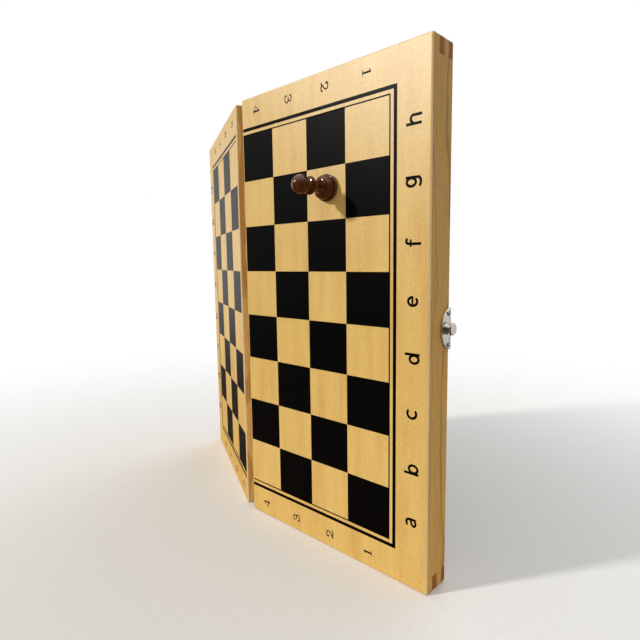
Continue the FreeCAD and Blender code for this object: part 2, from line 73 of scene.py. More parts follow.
# ---- the print, in millimetres ----
SQUARE = 30.0
RANKS = 4                     # of squares on one half, between the hinge and the latch
FILES = 8
INK_PROUD = 0.03              # above the playing face
INK_SUNK = 0.03               # below it
FACE_ROUND = 1.3              # rounding of the box's edges, which the print follows
PRINT_WRAP = 1.35             # how far the print runs round the hinge edge
BORDER_LINE = (2.3, 4.4)      # the thick line, outside the squares
THIN_LINE = 0.8               # the line on the squares' outer boundary
LETTER_CENTRE = 4.48          # across the board, in squares
NUMBER_CENTRES = (-0.48, 8.48)  # along the board, in squares
STAIN = (77.0, 208.5)         # a small orange stain in the white half's veneer, (u, v)
PEN = 1.4                     # line of the letters
CROSSBAR = 1.1                # line of the bars of e and f
HEAVY = 0.95                  # round strokes of the figures
HAIR = 0.5                    # thin strokes of the figures
SERIF = 0.35

# ---- the chessmen, in millimetres; the profiles give the rest ----
SIDES = 64                    # facets round a turned piece
FOOT_TOP = 7.1                # where the foot ends and the stem starts
PAWN_TALL = 27.4
ROOK_TALL = 33.0
BISHOP_TALL = 44.0
QUEEN_TALL = 53.0
KING_TALL = 59.0
CROSS_TALL = 5.9
CROSS_THICK = 1.8
FINIAL_RADIUS = 1.7           # ball on top of a bishop or a queen

# ---- the photograph's camera: metres in the frame, worked out from the board's squares ----
CAMERA_PLACE = Vector((0.20049, -0.22749, 0.17964))
CAMERA_AHEAD = Vector((-0.67842, 0.72519, -0.11772)).normalized()
CAMERA_UPWARDS = Vector((-0.07024, 0.09548, 0.99295))
CAMERA_LENS = 27.859
CAMERA_SENSOR = 36.0

# ---- the studio; lights are placed by direction and distance from the box's centre ----
KEY_TOWARDS = Vector((-0.68, -1.0, 0.61)).normalized()
KEY_STRENGTH = 1.98
FLOOR_HALF = 3.0
FLOOR_FADE = (0.12, 0.7)      # the floor fades out between these distances, in metres

WHITE = (1.0, 1.0, 1.0)


# ---- the two halves ----
def half_frames():
    """Matrices from the half frame to the row frame, for the white and black halves."""
    corner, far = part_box("white_playing_face")
    white = Matrix.Translation(corner)
    fold = JOINTS["board_fold"]
    pin = Vector(fold["pos_m"])
    mid = Vector((pin.x, pin.y, far.z / 2))
    turned_over = Matrix.Translation(mid) @ Matrix.Rotation(math.pi, 4, "X") @ Matrix.Translation(-mid)
    opened = Matrix.Rotation(math.radians(-fold["range_deg"][0]), 4, "Z")
    swing = Matrix.Translation(pin) @ opened @ Matrix.Translation(-pin)
    return {"white": white, "black": swing @ turned_over @ white}


HALVES = half_frames()
FACE_LOW, FACE_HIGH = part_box("white_playing_face")
HALF_LENGTH = (FACE_HIGH.z - FACE_LOW.z) / MM
SIDE_BORDER = (HALF_LENGTH - FILES * SQUARE) / 2


def local_box(node, matrix):
    """Lowest and highest corners of a CAD node in a frame of its own."""
    inverse = matrix.inverted()
    places = [inverse @ vertex.co for vertex in NODES[node].data.vertices]
    low = Vector([min(place[i] for place in places) for i in range(3)])
    high = Vector([max(place[i] for place in places) for i in range(3)])
    return low, high


# ---- materials ----
def add(tree, kind, inputs=None, **settings):
    """A new node; inputs are values, or sockets to link from."""
    made = tree.nodes.new("ShaderNode" + kind)
    for key, value in settings.items():
        setattr(made, key, value)
    for key, value in (inputs or {}).items():
        if isinstance(value, bpy.types.NodeSocket):
            tree.links.new(value, made.inputs[key])
        else:
            made.inputs[key].default_value = value
    return made


def math_node(tree, operation, *values, clamp=False):
    made = add(tree, "Math", dict(enumerate(values)), operation=operation, use_clamp=clamp)
    return made.outputs[0]


def ramp(tree, factor, stops):
    """Colour ramp from (place, colour) stops."""
    made = add(tree, "ValToRGB", {"Fac": factor})
    band = made.color_ramp
    while len(band.elements) < len(stops):
        band.elements.new(0.5)
    for element, (place, colour) in zip(band.elements, stops):
        element.position = place
        element.color = (*colour, 1)
    return made.outputs["Color"]


def noise(tree, where, scale, detail=3.0, rough=0.5):
    made = add(tree, "TexNoise", {"Vector": where, "Scale": scale, "Detail": detail, "Roughness": rough})
    return made.outputs["Fac"]


def mixed(tree, factor, first, second, blend="MIX"):
    made = add(tree, "Mix", {"Factor": factor}, data_type="RGBA", blend_type=blend)
    colours = [socket for socket in made.inputs if socket.type == "RGBA"]
    for socket, value in zip(colours, (first, second)):
        if isinstance(value, bpy.types.NodeSocket):
            tree.links.new(value, socket)
        else:
            socket.default_value = (*value, 1)
    return next(socket for socket in made.outputs if socket.type == "RGBA")


def toned(tree, base, amount, pattern, stops):
    """A colour multiplied, by an amount, with a ramp over a pattern."""
    return mixed(tree, amount, base, ramp(tree, pattern, stops), "MULTIPLY")


def eased(tree, value, source, target):
    """A value taken smoothly from one range to another."""
    ranges = {"From Min": source[0], "From Max": source[1], "To Min": target[0], "To Max": target[1]}
    made = add(tree, "MapRange", {"Value": value, **ranges}, interpolation_type="SMOOTHSTEP")
    return made.outputs[0]


def stretched(tree, where, factors):
    """Coordinates scaled by a factor for each axis; a small one draws the pattern out."""
    made = add(tree, "VectorMath", {0: where, 1: factors}, operation="MULTIPLY")
    return made.outputs["Vector"]


def new_material(name, **values):
    """A material with one Principled shader; values go on the shader's own sockets."""
    material = bpy.data.materials.new(name)
    material.use_nodes = True
    tree = material.node_tree
    tree.nodes.clear()
    shader = add(tree, "BsdfPrincipled")
    for key, value in values.items():
        shader.inputs[key.replace("_", " ")].default_value = value
    add(tree, "OutputMaterial", {"Surface": shader.outputs[0]})
    return material, tree, shader


def finished(tree, shader, colour, height, distance, strength):
    """Links a material's colour, and a bump of its own height (distance in metres)."""
    tree.links.new(colour, shader.inputs["Base Color"])
    made = add(tree, "Bump", {"Height": height, "Distance": distance, "Strength": strength})
    tree.links.new(made.outputs["Normal"], shader.inputs["Normal"])


def place_in(tree, matrix, offset=(0, 0, 0)):
    """Coordinates in millimetres, in the frame of matrix and moved by offset, or in the
    piece's own frame where matrix is None; and the node that they come from."""
    coordinates = add(tree, "TexCoord")
    if matrix is None:
        return stretched(tree, coordinates.outputs["Object"], (1 / MM,) * 3), coordinates
    inverse = matrix.inverted()
    moved = add(tree, "Mapping", {
        "Vector": coordinates.outputs["Object"],
        "Location": inverse.translation / MM + Vector(offset),
        "Rotation": inverse.to_euler(),
        "Scale": (1 / MM,) * 3,
    })
    return moved.outputs[0], coordinates


def facing(tree, coordinates, matrix, axis):
    """How far the surface faces along or against a direction of the half frame, 0 to 1."""
    way = matrix.to_3x3() @ Vector(axis)
    dot = add(tree, "VectorMath", {0: coordinates.outputs["Normal"], 1: way}, operation="DOT_PRODUCT")
    return math_node(tree, "ABSOLUTE", dot.outputs["Value"])


def wood(name, matrix, along, offset, late, early, end_grain):
    """Sawn wood: growth rings about a pith that offset puts to one side, fibres along
    the axis numbered along, and darker end grain where the surface is cut across."""
    material, tree, shader = new_material(name, Roughness=0.5, Specular_IOR_Level=0.25)
    where, coordinates = place_in(tree, matrix, offset)

    def grain(across_scale, along_scale, detail, rough=0.5, scale=1.0):
        factors = [across_scale] * 3
        factors[along] = along_scale
        return noise(tree, stretched(tree, where, factors), scale, detail, rough)

    wander = grain(1.0, 0.3, 2.0, scale=0.035)
    fibres = grain(2.4, 0.07, 4.0, 0.6)
    flecks = grain(1.9, 0.35, 1.0)
    streaks = grain(0.42, 0.012, 3.0, 0.6)
    parts = add(tree, "SeparateXYZ", {"Vector": where})
    across = [parts.outputs[i] for i in range(3) if i != along]
    squares = [math_node(tree, "MULTIPLY", side, side) for side in across]
    radius = math_node(tree, "SQRT", math_node(tree, "ADD", *squares))
    radius = math_node(tree, "ADD", radius, math_node(tree, "MULTIPLY", wander, 26.0))
    rings = add(tree, "TexNoise", {"W": radius, "Scale": 0.16, "Detail": 2.0, "Roughness": 0.5},
                noise_dimensions="1D").outputs["Fac"]
    base = ramp(tree, rings, [(0.30, late), (0.40, early), (0.66, early), (0.74, late)])
    base = toned(tree, base, 0.85, fibres, [(0.3, (0.8, 0.75, 0.68)), (0.55, WHITE)])
    base = toned(tree, base, 0.4, streaks, [(0.36, (0.78, 0.68, 0.56)), (0.5, WHITE)])
    base = toned(tree, base, 0.75, flecks, [(0.63, WHITE), (0.71, (0.68, 0.56, 0.44))])
    axis = Vector((0, 0, 0))
    axis[along] = 1
    cut = facing(tree, coordinates, matrix, axis)
    cut = math_node(tree, "MULTIPLY_ADD", cut, 5.0, -3.6, clamp=True)
    pores = noise(tree, where, 5.0, 2.0)
    dark_end = mixed(tree, 1.0, base, end_grain, "MULTIPLY")
    dark_end = toned(tree, dark_end, 0.55, pores, [(0.35, (0.55, 0.48, 0.4)), (0.6, WHITE)])
    base = mixed(tree, cut, base, dark_end)
    finished(tree, shader, base, fibres, 0.00006, 0.5)
    return material


def veneer(name, matrix, offset, stain):
    """Pale maple veneer with fine grain along the half's length, faint figure and a
    satin varnish.  Its rounded edge is paler and greyer: partly the sanded edge's
    colour, partly a painted highlight.  The stain's board place may be None."""
    material, tree, shader = new_material(name, Roughness=0.4, Specular_IOR_Level=1.0)
    where, coordinates = place_in(tree, matrix, offset)
    broad = noise(tree, stretched(tree, where, (0.11, 1.0, 0.012)), 1.0, 3.0, 0.55)
    streaks = noise(tree, stretched(tree, where, (1.3, 1.0, 0.028)), 1.0, 4.0, 0.65)
    pores = noise(tree, stretched(tree, where, (5.0, 1.0, 0.35)), 1.0, 2.0)
    cloud = noise(tree, where, 0.05, 3.0, 0.6)
    mottle = noise(tree, stretched(tree, where, (1.0, 1.0, 0.6)), 0.9, 3.0, 0.65)
    base = ramp(tree, broad, [(0.3, (0.79, 0.485, 0.125)), (0.5, (0.87, 0.57, 0.158)),
                              (0.72, (0.91, 0.62, 0.185))])
    base = toned(tree, base, 0.4, streaks, [(0.32, (0.88, 0.82, 0.73)), (0.56, WHITE)])
    base = toned(tree, base, 0.3, pores, [(0.28, (0.75, 0.62, 0.5)), (0.45, WHITE)])
    base = toned(tree, base, 0.5, cloud, [(0.35, (0.95, 0.9, 0.82)), (0.6, WHITE)])
    base = toned(tree, base, 0.8, mottle, [(0.35, (0.86, 0.82, 0.74)), (0.62, WHITE)])
    if stain:
        middle = (stain[0] + offset[0], 0, stain[1] + offset[2])
        away = add(tree, "VectorMath", {0: where, 1: middle}, operation="SUBTRACT").outputs["Vector"]
        away = stretched(tree, away, (0.5, 0, 0.27))
        off = add(tree, "VectorMath", {0: away}, operation="LENGTH")
        spot = eased(tree, off.outputs["Value"], (0.4, 1.3), (0.75, 0.0))
        base = mixed(tree, spot, base, (0.8, 0.42, 0.07))
    # Painted highlight, partly the sanded edge's own colour: where the rounding turns away from the face
    # it is mixed to a pale grey-cream.
    flat = facing(tree, coordinates, matrix, (0, 1, 0))
    edge = math_node(tree, "MULTIPLY_ADD", flat, -6.0, 5.7, clamp=True)
    base = mixed(tree, edge, base, (0.8, 0.64, 0.42))
    finished(tree, shader, base, varnish_height(tree, where, streaks), 0.00012, 0.65)
    return material


def varnish_height(tree, where, streaks):
    """Grain that shows through the varnish, and the varnish's own orange peel."""
    peel = noise(tree, where, 1.3, 2.0, 0.5)
    grit = noise(tree, where, 2.6, 2.0, 0.6)
    height = math_node(tree, "MULTIPLY_ADD", streaks, 0.4, peel)
    return math_node(tree, "MULTIPLY_ADD", grit, 0.5, height)


def ink(name, matrix):
    """Screen-printed black; the veneer's grain and varnish show through faintly."""
    material, tree, shader = new_material(name, Roughness=0.37, Specular_IOR_Level=0.07)
    where, _ = place_in(tree, matrix)
    streaks = noise(tree, stretched(tree, where, (1.3, 1.0, 0.028)), 1.0, 4.0, 0.65)
    base = ramp(tree, streaks, [(0.35, (0.0008, 0.0008, 0.0009)), (0.7, (0.0022, 0.0021, 0.002))])
    finished(tree, shader, base, varnish_height(tree, where, streaks), 0.00008, 0.5)
    return material


def turned_wood(name, light, dark, deep, shine):
    """Lacquered turned wood, grain along the piece's own z."""
    material, tree, shader = new_material(name, Roughness=0.4, Specular_IOR_Level=0.05,
                                          Coat_Weight=shine, Coat_Roughness=0.05)
    where, _ = place_in(tree, None)
    streaks = noise(tree, stretched(tree, where, (1.6, 1.6, 0.1)), 1.0, 4.0, 0.65)
    figure = noise(tree, stretched(tree, where, (0.2, 0.2, 0.05)), 1.0, 3.0)
    base = ramp(tree, streaks, [(0.3, deep), (0.5, dark), (0.7, light)])
    base = toned(tree, base, 0.5, figure, [(0.3, (0.6, 0.5, 0.42)), (0.65, WHITE)])
    finished(tree, shader, base, streaks, 0.00003, 0.35)
    return material


def brushed_metal(name, colour, roughness, scratch):
    """Plated metal with fine scratches and slight clouding."""
    material, tree, shader = new_material(name, Metallic=1.0)
    where, _ = place_in(tree, None)
    lines = noise(tree, stretched(tree, where, (9.0, 9.0, 0.9)), 1.0, 3.0)
    cloud = noise(tree, where, 0.8, 3.0)
    tone = ramp(tree, cloud, [(0.3, tuple(0.86 * c for c in colour)), (0.7, colour)])
    rough = math_node(tree, "MULTIPLY_ADD", lines, scratch, roughness - scratch / 2)
    tree.links.new(rough, shader.inputs["Roughness"])
    finished(tree, shader, tone, lines, 0.00002, 0.25)
    return material


def flock(name, colour, shade):
    """Flocked foam: dull green fibre with a soft sheen."""
    material, tree, shader = new_material(name, Roughness=0.95, Sheen_Weight=0.6, Sheen_Roughness=0.5)
    shader.inputs["Sheen Tint"].default_value = (0.55, 0.75, 0.6, 1)
    where, _ = place_in(tree, None)
    fuzz = noise(tree, where, 7.0, 4.0, 0.75)
    wear = noise(tree, where, 0.09, 3.0)
    base = ramp(tree, fuzz, [(0.3, shade), (0.62, colour)])
    base = toned(tree, base, 0.5, wear, [(0.35, (0.72, 0.78, 0.72)), (0.65, WHITE)])
    finished(tree, shader, base, fuzz, 0.00025, 0.8)
    return material


def plies(name, matrix):
    """Birch plywood core, with its plies in bands across its thickness."""
    material, tree, shader = new_material(name, Roughness=0.65)
    where, _ = place_in(tree, matrix)
    depth = add(tree, "SeparateXYZ", {"Vector": where}).outputs["Y"]
    ply = math_node(tree, "PINGPONG", depth, 0.83)
    fibres = noise(tree, stretched(tree, where, (1.5, 1.5, 0.06)), 1.0, 4.0)
    base = ramp(tree, ply, [(0.2, (0.5, 0.33, 0.17)), (0.6, (0.66, 0.48, 0.28))])
    base = toned(tree, base, 0.5, fibres, [(0.3, (0.8, 0.72, 0.62)), (0.6, WHITE)])
    finished(tree, shader, base, fibres, 0.00008, 0.4)
    return material


def dress(node, material, bevel=0.0):
    """Gives a CAD node its material and, where it has crisp edges, a small bevel."""
    piece = NODES[node]
    piece.data.materials.clear()
    piece.data.materials.append(material)
    for polygon in piece.data.polygons:
        polygon.material_index = 0
    if bevel:
        weld = piece.modifiers.new("weld", "WELD")
        weld.merge_threshold = 0.002 * MM
        edges = piece.modifiers.new("bevel", "BEVEL")
        edges.width = bevel * MM
        edges.segments = 3
        edges.limit_method = "ANGLE"
        edges.angle_limit = math.radians(40)
        edges.harden_normals = True


def dress_nodes():
    """Materials of every CAD node that shows; shift keeps the two halves' wood apart."""
    late = (0.53, 0.265, 0.066)
    early = (0.73, 0.425, 0.112)
    # Painted light: a paler copy of the beech for the hinge rails, standing in for the stronger light on
    # the hinge wall.
    painted_light_late = (0.68, 0.41, 0.14)
    painted_light_early = (0.88, 0.6, 0.23)
    ends = (0.6, 0.4, 0.24)
    nickel = brushed_metal("nickel_plate", (0.76, 0.73, 0.69), roughness=0.16, scratch=0.08)
    # Painted shade: the screws get a darker nickel than the plates, standing in for the dark shading in
    # their slots and round their rims.
    screw_painted_shade = brushed_metal("screw_nickel_painted_shade", (0.6, 0.57, 0.53), roughness=0.22, scratch=0.1)
    steel = brushed_metal("pin_steel", (0.55, 0.55, 0.56), roughness=0.35, scratch=0.15)
    tin = brushed_metal("tinned_steel", (0.5, 0.51, 0.53), roughness=0.45, scratch=0.2)
    green = flock("green_flock", (0.028, 0.085, 0.042), (0.012, 0.045, 0.021))
    for half, matrix in HALVES.items():
        shift = {"white": 0.0, "black": 37.0}[half]
        rails = {
            "hinge_rail": (2, (31.0 + shift, 22.0, 0.0)),
            "latch_rail": (2, (-158.0 - shift, -34.0, 11.0)),
            "a_end_rail": (0, (13.0, -28.0, 19.0 + shift)),
            "h_end_rail": (0, (5.0, 33.0, -260.0 + shift)),
        }
        for rail, (along, offset) in rails.items():
            name = "%s_%s" % (half, rail)
            # The hinge rails take the paler copy of the beech, which is painted light.
            tones = (painted_light_late, painted_light_early) if rail == "hinge_rail" else (late, early)
            dress(name, wood(name + "_beech", matrix, along, offset, *tones, ends))
        stain = STAIN if half == "white" else None
        dress(half + "_playing_face", veneer(half + "_maple_veneer", matrix, (shift, 0, 3 * shift), stain))
        dress(half + "_steel_sheet", tin)
        dress(half + "_core", plies(half + "_plywood", matrix))
        dress(half + "_tray", green, 0.7)
        dress(half + "_hinge_leaves", nickel, 0.12)
        # The screws' darker nickel is painted shade.
        dress(half + "_screws", screw_painted_shade, 0.06)
    dress("hinge_pins", steel, 0.1)
    dress("catch_plate", nickel, 0.22)
    dress("catch_knob", nickel, 0.2)
    dress("hook_plate", nickel, 0.22)
    dress("hook_pivot", nickel, 0.2)
    dress("latch_hook", nickel, 0.12)
    dress("board_pawn_magnet", steel, 0.1)
    dress("board_pawn_felt", flock("felt", (0.02, 0.07, 0.035), (0.01, 0.04, 0.02)), 0.1)


# ---- the print ----
def smooth(points):
    """Points along a Catmull-Rom line through the given ones."""
    made = []
    steps = 6
    last = len(points) - 1
    for i in range(last):
        p0, p1, p2, p3 = (Vector(points[max(0, min(last, i + k))]) for k in (-1, 0, 1, 2))
        for step in range(steps):
            t = step / steps
            made.append(0.5 * (2 * p1 + (p2 - p0) * t + (2 * p0 - 5 * p1 + 4 * p2 - p3) * t * t
                               + (3 * p1 - p0 - 3 * p2 + p3) * t ** 3))
    made.append(Vector(points[-1]))
    return made


def oval(centre, radii, start=0, end=360):
    """Points along an ellipse, between two angles in degrees."""
    made = []
    steps = 28
    for i in range(steps + 1):
        angle = math.radians(start + (end - start) * i / steps)
        made.append((centre[0] + radii[0] * math.cos(angle), centre[1] + radii[1] * math.sin(angle)))
    return made


def disc(centre, radius):
    sides = 14
    return [(centre[0] + radius * math.cos(math.tau * i / sides),
             centre[1] + radius * math.sin(math.tau * i / sides)) for i in range(sides)]


def stroke(points, width):
    """Polygons of a line drawn with a pen: a bar for each run, a disc at each bend."""
    shapes = []
    points = [Vector(point) for point in points]
    for here, there in zip(points, points[1:]):
        run = there - here
        if run.length < 1e-6:
            continue
        side = Vector((-run.y, run.x)).normalized() * width / 2
        shapes.append([here - side, there - side, there + side, here + side])
    shapes += [disc(point, width / 2) for point in points[1:-1]]
    return shapes


def upright(x, tall):
    return stroke([(x, 0), (x, tall)], PEN)


def bowl(centre, radii, start=0, end=360):
    return stroke(oval(centre, radii, start, end), PEN)


def letter_shapes():
    """Shapes of a to h, in millimetres: baseline at 0, x-height 6.7, ascenders 9."""
    return {
        "a": stroke(smooth([(0.8, 5.9), (2.4, 6.35), (3.8, 5.6), (4.25, 4.0), (4.3, 0.7)]), PEN)
        + stroke([(4.2, 0.9), (4.9, 0.5)], 1.0)
        + stroke(smooth([(4.25, 3.6), (2.6, 3.4), (1.0, 2.6), (0.75, 1.5), (1.9, 0.65), (3.4, 1.0),
                         (4.25, 2.0)]), 1.3),
        "b": upright(0.75, 9) + bowl((3.3, 3.35), (2.1, 2.65)),
        "c": bowl((3.4, 3.4), (2.55, 2.7), 50, 310),
        "d": upright(5.5, 9) + bowl((3.0, 3.35), (2.1, 2.65)),
        "e": bowl((2.9, 3.4), (2.2, 2.7), 0, 315) + stroke([(0.9, 3.5), (5.4, 3.5)], CROSSBAR),
        "f": stroke(smooth([(1.65, 0), (1.65, 4.0), (1.65, 6.5), (2.0, 8.1), (3.0, 8.6),
                            (4.0, 8.35)]), PEN)
        + stroke([(0.1, 6.0), (3.9, 6.0)], CROSSBAR),
        "g": bowl((2.7, 3.45), (2.0, 2.65))
        + stroke(smooth([(5.0, 6.6), (5.0, 3.5), (5.0, 0.2), (4.9, -0.9), (3.9, -1.9), (2.4, -2.1),
                         (0.8, -1.6)]), PEN),
        "h": upright(0.75, 9)
        + stroke(smooth([(0.75, 4.6), (2.2, 6.0), (3.8, 6.2), (4.9, 5.2), (4.9, 3.5), (4.9, 0)]), PEN),
    }


def digit_shapes():
    """Shapes of 1 to 8, in millimetres: broad serif figures, 5.7 high."""
    return {
        "1": stroke([(2.1, 0), (2.1, 5.7)], 1.1) + stroke([(0.7, 4.6), (1.9, 5.5)], HAIR)
        + stroke([(0.4, 0.15), (3.8, 0.15)], SERIF),
        "2": [disc((1.1, 4.3), 0.6)]
        + stroke(smooth([(0.6, 4.2), (0.9, 5.2), (2.4, 5.6), (4.0, 5.1), (4.3, 4.0), (3.5, 2.7),
                         (1.6, 1.2), (0.5, 0.3)]), 0.75)
        + stroke(smooth([(0.5, 0.4), (1.6, 0.75), (3.2, 0.4), (4.6, 0.5), (4.9, 1.5)]), 0.8),
        "3": [disc((0.9, 4.6), 0.55), disc((0.9, 1.3), 0.55)]
        + stroke(smooth([(0.7, 4.9), (1.6, 5.5), (2.8, 5.6), (4.1, 5.0), (4.1, 3.8), (3.2, 3.15),
                         (2.0, 3.0)]), 0.7)
        + stroke(smooth([(2.0, 3.0), (3.6, 2.9), (4.8, 2.0), (4.6, 0.8), (3.0, 0.1), (1.2, 0.3),
                         (0.6, 1.2)]), 0.7),
        "4": stroke([(3.5, 5.7), (0.4, 1.7)], 0.45) + stroke([(0.3, 1.6), (5.3, 1.6)], 0.45)
        + stroke([(3.7, 0), (3.7, 5.7)], 1.05) + stroke([(2.5, 0.15), (5.0, 0.15)], SERIF),
        "5": stroke([(1.1, 5.3), (4.6, 5.2)], 0.9) + stroke([(1.1, 5.5), (0.95, 3.0)], 0.45)
        + stroke(smooth([(0.95, 3.0), (2.4, 3.6), (4.2, 3.1), (4.7, 1.8), (4.0, 0.5), (2.4, 0.1),
                         (0.9, 0.5)]), 0.75) + [disc((0.95, 1.1), 0.6)],
        "6": [disc((4.2, 4.6), 0.55)]
        + stroke(smooth([(4.5, 4.7), (3.6, 5.5), (2.2, 5.3), (1.0, 4.0), (0.75, 2.3), (1.4, 0.7),
                         (2.8, 0.2), (4.3, 0.8), (4.7, 1.9), (4.1, 3.0), (2.9, 3.3), (1.5, 2.8),
                         (0.9, 2.0)]), HEAVY),
        "7": stroke(smooth([(0.5, 4.9), (1.6, 5.4), (3.4, 4.9), (5.0, 5.4)]), 0.9)
        + stroke([(0.5, 5.6), (0.5, 4.2)], HAIR)
        + stroke(smooth([(5.0, 5.4), (3.7, 3.2), (3.0, 1.6), (2.8, 0.1)]), 1.1),
        "8": stroke(oval((2.7, 4.3), (1.5, 1.05)), HEAVY)
        + stroke(oval((2.7, 1.6), (1.9, 1.25)), HEAVY),
    }


def anticlockwise(shape):
    """The polygon, turned over if it runs clockwise."""
    area = sum(a[0] * b[1] - b[0] * a[1] for a, b in zip(shape, shape[1:] + shape[:1]))
    return shape if area > 0 else shape[::-1]


def union_of(shapes):
    """Triangles that cover a set of overlapping polygons once."""
    corners, faces = [], []
    for shape in map(anticlockwise, shapes):
        faces.append(list(range(len(corners), len(corners) + len(shape))))
        corners += [Vector(corner) for corner in shape]
    points, _, triangles, _, _, covers = delaunay_2d_cdt(corners, [], faces, 0, 1e-5)
    return points, [triangle for triangle, cover in zip(triangles, covers) if cover]


def on_face(half, u, v, height):
    """Row-frame point at board place (u, v), height above the playing face.  Where u is
    less than the edge's rounding it counts along the surface, round the hinge edge."""
    z = v if half == "white" else HALF_LENGTH - v
    if u >= FACE_ROUND:
        local = Vector((u, -height, z))
    else:
        turn = (FACE_ROUND - u) / FACE_ROUND
        reach = FACE_ROUND + height
        local = Vector((FACE_ROUND - reach * math.sin(turn), FACE_ROUND - reach * math.cos(turn), z))
    return HALVES[half] @ (local * MM)


def printed(name, half, groups, material):
    """Thin closed slabs of ink on a half's playing face, one for each group of shapes."""
    mesh = bmesh.new()
    for shapes in groups:
        points, triangles = union_of(shapes)
        top = [mesh.verts.new(on_face(half, p.x, p.y, INK_PROUD)) for p in points]
        bottom = [mesh.verts.new(on_face(half, p.x, p.y, -INK_SUNK)) for p in points]
        rim = {}    # each edge, and whether only one triangle has it
        for triangle in triangles:
            mesh.faces.new([top[i] for i in triangle])
            mesh.faces.new([bottom[i] for i in reversed(triangle)])
            for a, b in zip(triangle, triangle[1:] + triangle[:1]):
                rim[(a, b)] = (b, a) not in rim
                if (b, a) in rim:
                    rim[(b, a)] = False
        for (a, b), open_side in rim.items():
            if open_side:
                mesh.faces.new([top[b], top[a], bottom[a], bottom[b]])
    bmesh.ops.delete(mesh, geom=[v for v in mesh.verts if not v.link_faces], context="VERTS")
    bmesh.ops.recalc_face_normals(mesh, faces=mesh.faces)
    piece = new_object(name, mesh)
    piece.data.materials.append(material)
    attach(piece, half + "_half")


def new_object(name, mesh):
    data = bpy.data.meshes.new(name)
    mesh.to_mesh(data)
    mesh.free()
    piece = bpy.data.objects.new(name, data)
    bpy.context.scene.collection.objects.link(piece)
    return piece


def strip(u0, u1, v0, v1):
    """Rectangle on the board, cut into narrow bands where it goes round the edge."""
    cuts = [u1]
    if u0 < FACE_ROUND:
        bands = 8
        cuts += [FACE_ROUND + (u0 - FACE_ROUND) * i / bands for i in range(bands + 1)]
    else:
        cuts.append(u0)
    cuts = sorted(cuts)
    return [[(a, v0), (b, v0), (b, v1), (a, v1)] for a, b in zip(cuts, cuts[1:])]


def dark_squares(half):
    """The 16 dark squares; a1 and every square of its colour is dark."""
    groups = []
    for rank in range(RANKS):
        for file in range(FILES):
            rank_number = RANKS - rank if half == "white" else RANKS + 1 + rank
            if (file + rank_number) % 2 == 0:
                continue
            u0 = rank * SQUARE if rank else FACE_ROUND - PRINT_WRAP
            v0 = SIDE_BORDER + file * SQUARE
            groups.append(strip(u0, (rank + 1) * SQUARE, v0, v0 + SQUARE))
    return groups


def border_lines():
    """The thick line and the thin one, round three sides of the squares."""
    edge = FACE_ROUND - PRINT_WRAP
    across = RANKS * SQUARE
    low = SIDE_BORDER
    high = SIDE_BORDER + FILES * SQUARE
    groups = []
    for inner, outer in (BORDER_LINE, (-THIN_LINE / 2, THIN_LINE / 2)):
        groups.append(
            strip(edge, across + outer, low - outer, low - inner)
            + strip(edge, across + outer, high + inner, high + outer)
            + strip(across + inner, across + outer, low - outer, high + outer))
    return groups


def set_down(shapes, centre, up, right):
    """Glyph shapes with the middle of their box at a board place, and their own up and
    right along two board directions."""
    xs = [corner[0] for shape in shapes for corner in shape]
    ys = [corner[1] for shape in shapes for corner in shape]
    middle = Vector(((min(xs) + max(xs)) / 2, (min(ys) + max(ys)) / 2))
    made = []
    for shape in shapes:
        placed = []
        for corner in shape:
            off = Vector(corner[:2]) - middle
            placed.append(Vector(centre) + right * off.x + up * off.y)
        made.append(placed)
    return made


def glyph_ways(half, up):
    """Up and right of a glyph, as board directions, so that it reads from outside.
    Seen from there with v up, u runs right on the white half and left on the black."""
    up = Vector(up)
    right = Vector((up.y, -up.x)) if half == "white" else Vector((-up.y, up.x))
    return up, right


def letters_and_figures(half):
    """The letters with their tops to the hinge, and both rows of figures."""
    letters = letter_shapes()
    digits = digit_shapes()
    to_spine = glyph_ways(half, (-1, 0))
    outer = 1 if half == "white" else -1
    groups = []
    for file, letter in enumerate("abcdefgh"):
        centre = (LETTER_CENTRE * SQUARE, SIDE_BORDER + (file + 0.5) * SQUARE)
        groups.append(set_down(letters[letter], centre, *to_spine))
    for rank in range(RANKS):
        digit = str(RANKS - rank if half == "white" else RANKS + 1 + rank)
        for row, way in zip(NUMBER_CENTRES, (-outer, outer)):
            centre = ((rank + 0.5) * SQUARE, SIDE_BORDER + row * SQUARE)
            groups.append(set_down(digits[digit], centre, *glyph_ways(half, (way, 0))))
    return groups


def print_board():
    for half, matrix in HALVES.items():
        material = ink(half + "_ink", matrix)
        printed(half + "_dark_squares", half, dark_squares(half), material)
        printed(half + "_border_lines", half, border_lines(), material)
        printed(half + "_coordinates", half, letters_and_figures(half), material)


# ---- the chessmen, each standing on its own z = 0 ----
def curve(start, steps):
    """Points of an outline: (r, z) is a straight run, (r, z, r_mid, z_mid) a parabola
    through a middle point."""
    points = [Vector(start)]
    for step in steps:
        here = points[-1]
        there = Vector(step[:2])
        if len(step) == 2:
            points.append(there)
            continue
        middle = Vector(step[2:])
        pole = middle * 2 - (here + there) / 2
        pieces = 8
        for i in range(1, pieces + 1):
            t = i / pieces
            points.append(here * (1 - t) ** 2 + pole * 2 * t * (1 - t) + there * t * t)
    return points


